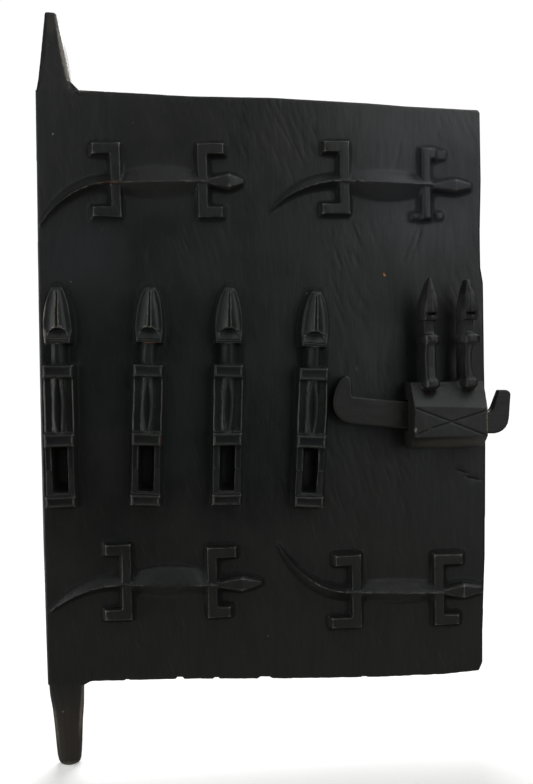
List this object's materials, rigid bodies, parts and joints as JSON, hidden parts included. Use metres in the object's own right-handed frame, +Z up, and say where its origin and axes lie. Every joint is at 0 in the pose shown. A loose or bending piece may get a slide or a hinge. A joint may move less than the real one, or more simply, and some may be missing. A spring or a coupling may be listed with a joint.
{
  "type": "carved granary door",
  "caption": "Dark carved wooden granary door leaf with pivot pins, relief lizards and standing figures, and a box lock with a sliding bolt.",
  "frame": {"origin": "centre of the flat end of the lower pivot pin, where the sill socket holds the leaf", "axes": "+Z up along the two pivot pins, +X across the leaf towards the lock, and the carved face looks towards -Y"},
  "size_m": [0.516, 0.086, 0.825],
  "materials": {
    "dark_wood": "near-black oiled and handled hardwood, hewn, with worn light edges",
    "lock_wood": "near-black oiled wood, smoother and more handled than the leaf",
    "bolt_wood": "near-black oiled wood, polished by sliding"
  },
  "bodies": {
    "door": {"door_leaf": "dark_wood", "lock_box": "lock_wood"},
    "bolt": {"lock_bolt": "bolt_wood"}
  },
  "joints": [
    {"name": "bolt_slide", "type": "slide", "parent": "door", "child": "bolt", "axis": [0.9936, 0, -0.1132], "range_m": [-0.003, 0.058]}
  ]
}
